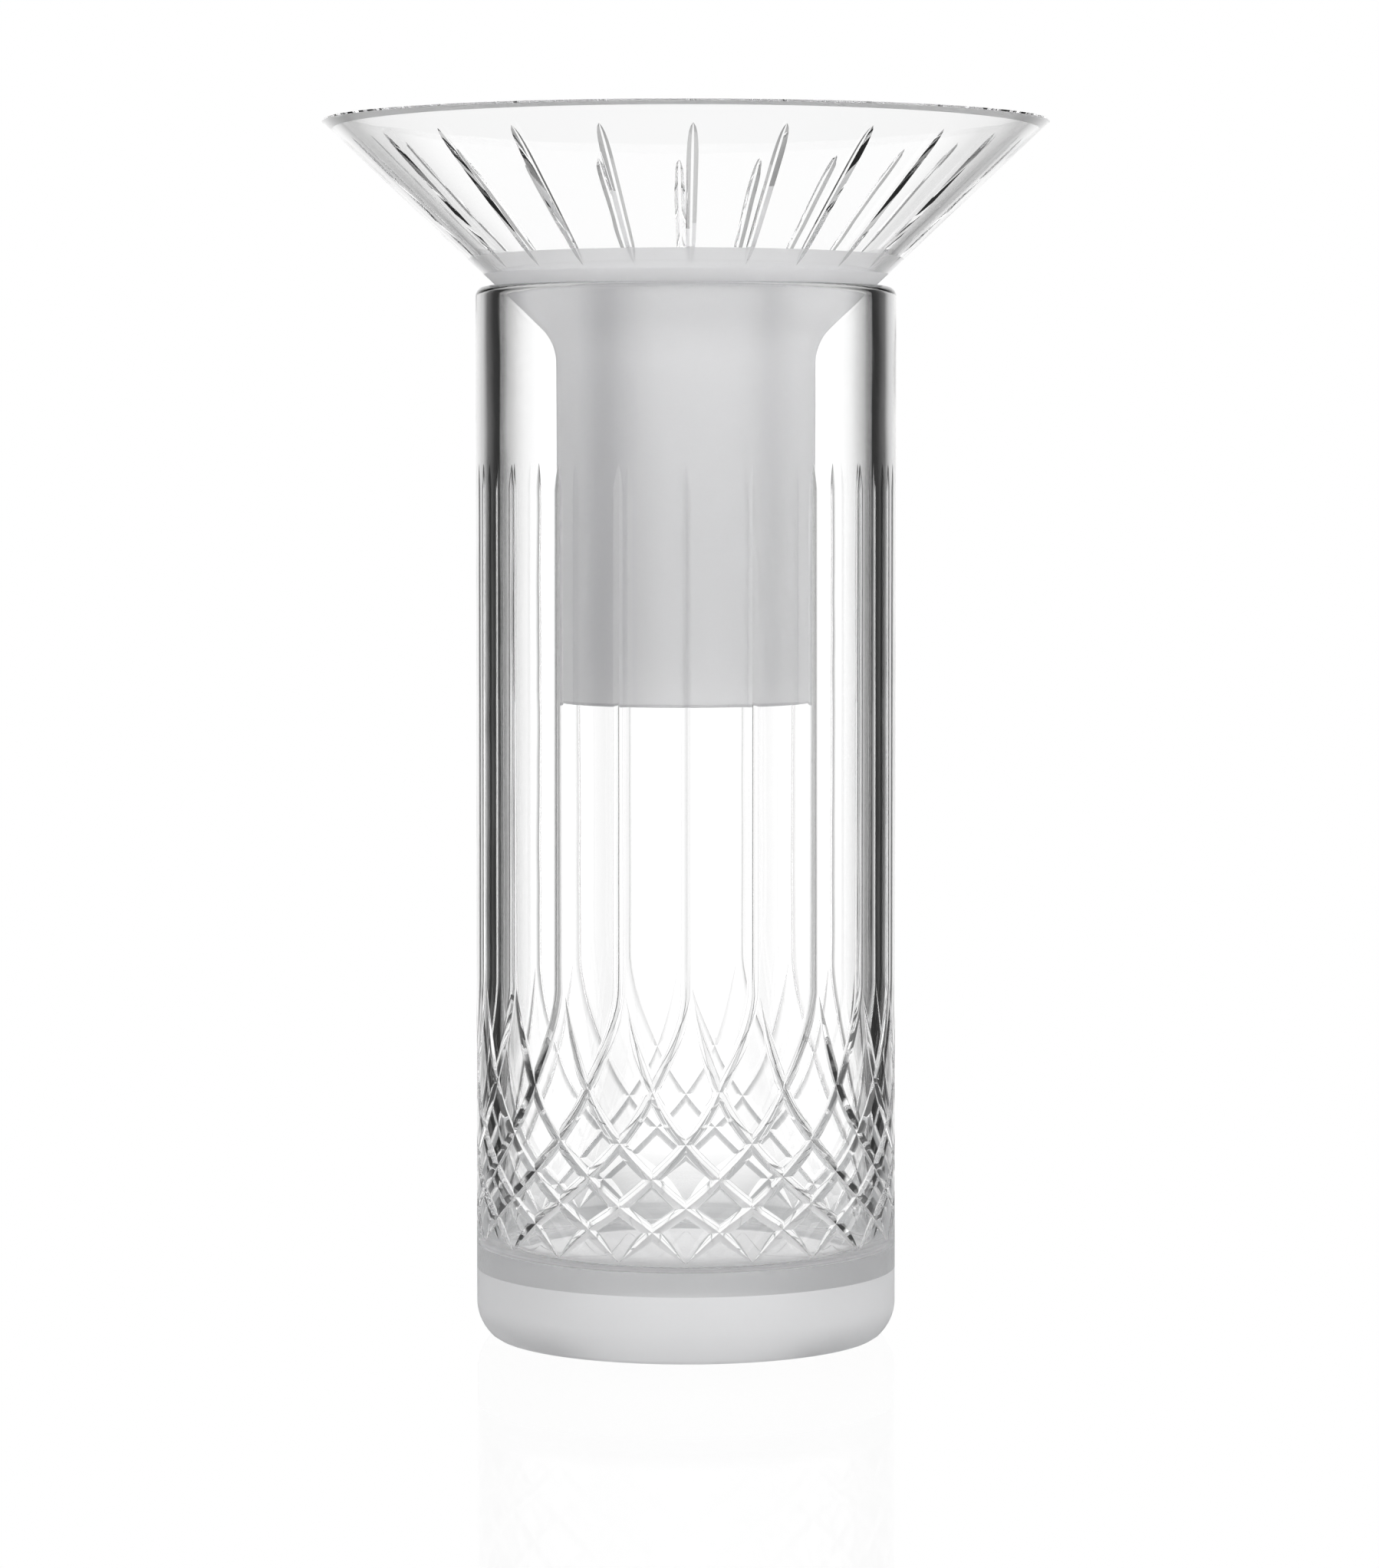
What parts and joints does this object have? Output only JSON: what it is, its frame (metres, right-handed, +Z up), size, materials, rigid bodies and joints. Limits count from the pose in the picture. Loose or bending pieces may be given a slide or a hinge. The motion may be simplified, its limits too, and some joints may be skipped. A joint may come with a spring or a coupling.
{
  "type": "cut crystal vase",
  "caption": "Tall cylindrical cut crystal vase with a solid satin-banded base and a loose flared collar whose satin sleeve holds the stems.",
  "frame": {"origin": "centre of the underside of the base, on the plane the vase stands on", "axes": "+Z up along the axis of revolution; -Y faces one of the vertical flutes, so it is the front"},
  "size_m": [0.212, 0.212, 0.3544],
  "materials": {
    "vessel_crystal": "clear polished lead crystal, satin etched band round the base",
    "collar_crystal": "clear polished flare, satin etched shoulder and sleeve"
  },
  "bodies": {
    "vessel": {"vessel": "vessel_crystal"},
    "collar_insert": {"collar_insert": "collar_crystal"}
  },
  "joints": [
    {"name": "collar_lift", "type": "slide", "parent": "vessel", "child": "collar_insert", "axis": [0, 0, 1], "range_m": [0, 0.14]}
  ]
}
